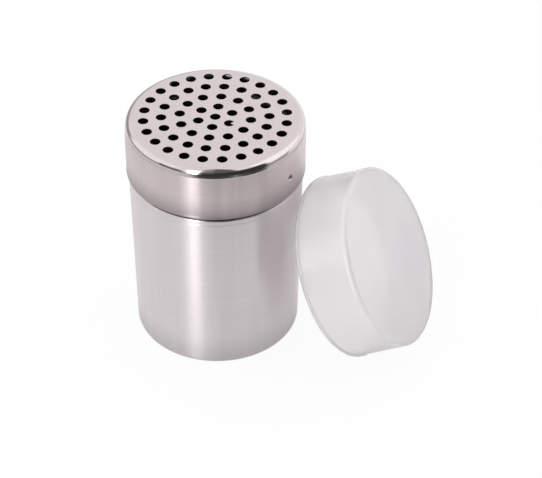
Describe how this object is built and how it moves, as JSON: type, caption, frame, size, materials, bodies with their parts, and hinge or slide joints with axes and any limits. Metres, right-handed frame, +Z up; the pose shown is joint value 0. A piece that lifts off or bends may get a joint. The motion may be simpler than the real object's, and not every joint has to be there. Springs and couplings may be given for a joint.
{
  "type": "spice shaker",
  "caption": "Steel spice shaker: a drawn can with a perforated lift-off lid, and its translucent plastic dust cap leaning against it.",
  "frame": {"origin": "centre of the can's flat base, on the surface that the can stands on", "axes": "+Z up along the can's axis; +X towards the side where the dust cap leans; +Y away from the picture's view"},
  "size_m": [0.1234, 0.0853, 0.0977],
  "materials": {
    "can_steel": "satin drawn stainless steel",
    "lid_steel": "satin drawn stainless steel with a polished rim",
    "cap_plastic": "milky translucent moulded polypropylene"
  },
  "bodies": {
    "can": {"can": "can_steel"},
    "lid": {"perforated_lid": "lid_steel"},
    "cap": {"dust_cap": "cap_plastic"}
  },
  "joints": [
    {"name": "lid_lift", "type": "slide", "parent": "can", "child": "lid", "axis": [0, 0, 1], "range_m": [0, 0.035]},
    {"name": "cap_pull", "type": "slide", "parent": "can", "child": "cap", "axis": [0.8389, -0.2645, 0.4756], "range_m": [0, 0.06]}
  ]
}
